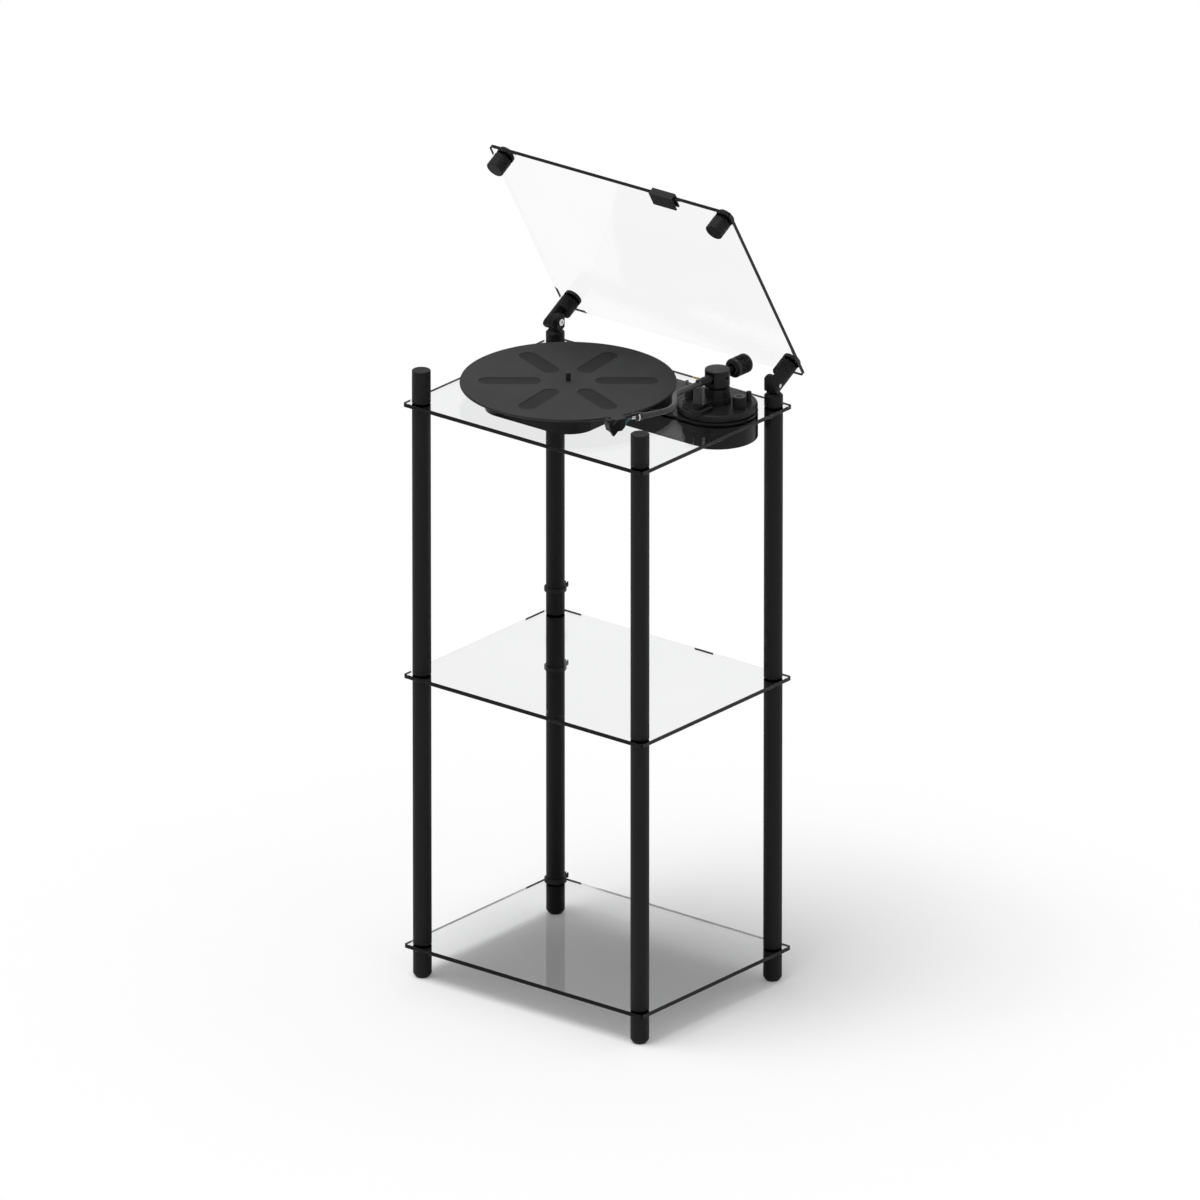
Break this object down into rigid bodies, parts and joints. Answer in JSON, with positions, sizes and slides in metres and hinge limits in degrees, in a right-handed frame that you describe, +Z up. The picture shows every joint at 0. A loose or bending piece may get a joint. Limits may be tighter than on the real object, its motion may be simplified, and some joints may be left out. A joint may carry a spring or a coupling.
{
  "type": "record player stand",
  "caption": "Glass-shelved stand on round black posts with a turntable let into its top shelf, an S-shaped tonearm and a hinged glass lid.",
  "frame": {"origin": "on the floor, midway between the four feet", "axes": "+X to the right seen from the front, +Y to the back where the lid is hinged, +Z up"},
  "size_m": [0.42, 0.3586, 1.1736],
  "materials": {
    "posts": "fine matt black coat",
    "glass": "clear float glass with polished edges",
    "fasteners": "turned steel",
    "rubber": "matt black rubber",
    "clip_plastic": "matt black plastic",
    "housing": "satin black moulding",
    "contact_metal": "plated contact",
    "bearing_metal": "turned bearing bush",
    "motor_case": "drawn can",
    "pulley_metal": "turned",
    "platter_metal": "black anodised",
    "mat": "dark grey rubber",
    "arm_base": "satin black coat",
    "arm_tube": "black coated tube",
    "arm_collar": "bright ring",
    "headshell": "black anodised",
    "cartridge": "black moulding",
    "stylus": "black stylus holder",
    "weight": "black coated weight"
  },
  "bodies": {
    "stand": {"foot_front_left": "posts", "lower_post_front_left": "posts", "upper_post_front_left": "posts", "foot_front_right": "posts", "lower_post_front_right": "posts", "upper_post_front_right": "posts", "foot_rear_left": "posts", "lower_post_rear_left": "posts", "upper_post_rear_left": "posts", "foot_rear_right": "posts", "lower_post_rear_right": "posts", "upper_post_rear_right": "posts", "foot_pads": "rubber", "shelf_studs": "fasteners", "shelf_washers": "rubber", "bottom_shelf": "glass", "middle_shelf": "glass", "top_plate": "glass", "front_cap_left": "posts", "front_cap_right": "posts", "hinge_post_left": "posts", "hinge_post_right": "posts", "hinge_pins": "fasteners", "cable_clips": "clip_plastic", "deck": "housing", "tub": "housing", "bottom_cover": "housing", "cover_screws": "fasteners", "signal_sockets": "contact_metal", "power_inlet": "clip_plastic", "platter_bearing": "bearing_metal", "motor": "motor_case", "drive_belt": "rubber", "arm_flange": "arm_base", "arm_bracket": "arm_base", "arm_rest": "clip_plastic"},
    "platter": {"platter_hub": "platter_metal", "platter_disc": "platter_metal", "platter_mat": "mat", "spindle": "platter_metal"},
    "pulley": {"motor_pulley": "pulley_metal"},
    "skate_dial": {"skate_dial": "arm_base"},
    "turret": {"arm_turret": "arm_base"},
    "tonearm": {"arm_gimbal": "arm_base", "arm_tube": "arm_tube", "shell_collar": "arm_collar", "headshell": "headshell", "cartridge": "cartridge", "stylus": "stylus"},
    "weight_sleeve": {"weight_sleeve": "headshell"},
    "counterweight": {"counterweight": "weight"},
    "cue_lift": {"cue_lift": "arm_base"},
    "cue_lever": {"cue_lever": "arm_base"},
    "lid": {"lid_glass": "glass", "lid_discs": "posts", "lid_washers": "rubber", "lid_knobs": "posts", "lid_hinge_left": "posts", "lid_hinge_right": "posts", "lid_handle": "clip_plastic"}
  },
  "joints": [
    {"name": "platter_spin", "type": "hinge", "parent": "stand", "child": "platter", "pos_m": [-0.0514, 0, 0.866], "axis": [0, 0, -1], "continuous": true},
    {"name": "pulley_spin", "type": "hinge", "parent": "stand", "child": "pulley", "pos_m": [-0.1244, 0.061, 0.86], "axis": [0, 0, -1], "continuous": true},
    {"name": "arm_swing", "type": "hinge", "parent": "stand", "child": "turret", "pos_m": [0.1457, 0.0805, 0.9005], "axis": [0, 0, -1], "range_deg": [0, 54]},
    {"name": "arm_tilt", "type": "hinge", "parent": "turret", "child": "tonearm", "pos_m": [0.1457, 0.0805, 0.9005], "axis": [-1, 0, 0], "range_deg": [-2.2, 8]},
    {"name": "weight_slide", "type": "slide", "parent": "tonearm", "child": "weight_sleeve", "axis": [0, 1, 0], "range_m": [-0.00605, 0.00605]},
    {"name": "weight_turn", "type": "hinge", "parent": "weight_sleeve", "child": "counterweight", "pos_m": [0.1457, 0.0805, 0.9005], "axis": [0, 1, 0], "range_deg": [-720, 720]},
    {"name": "skate_turn", "type": "hinge", "parent": "stand", "child": "skate_dial", "pos_m": [0.183, 0.082, 0.872], "axis": [0, 0, 1], "range_deg": [0, 300]},
    {"name": "cue_lever_turn", "type": "hinge", "parent": "stand", "child": "cue_lever", "pos_m": [0.154, 0.052, 0.8666], "axis": [-1, 0, 0], "range_deg": [0, 40]},
    {"name": "cue_lift_slide", "type": "slide", "parent": "stand", "child": "cue_lift", "axis": [0, 0, 1], "range_m": [0, 0.00401]},
    {"name": "lid_swing", "type": "hinge", "parent": "stand", "child": "lid", "pos_m": [0, 0.146, 0.8795], "axis": [-1, 0, 0], "range_deg": [-60, 0]}
  ],
  "couplings": [
    {"joint": "pulley_spin", "follows": "platter_spin", "ratio": 7.5},
    {"joint": "weight_slide", "follows": "weight_turn", "m_per_rad": 0.00047746},
    {"joint": "cue_lift_slide", "follows": "cue_lever_turn", "m_per_rad": 0.0057296}
  ]
}
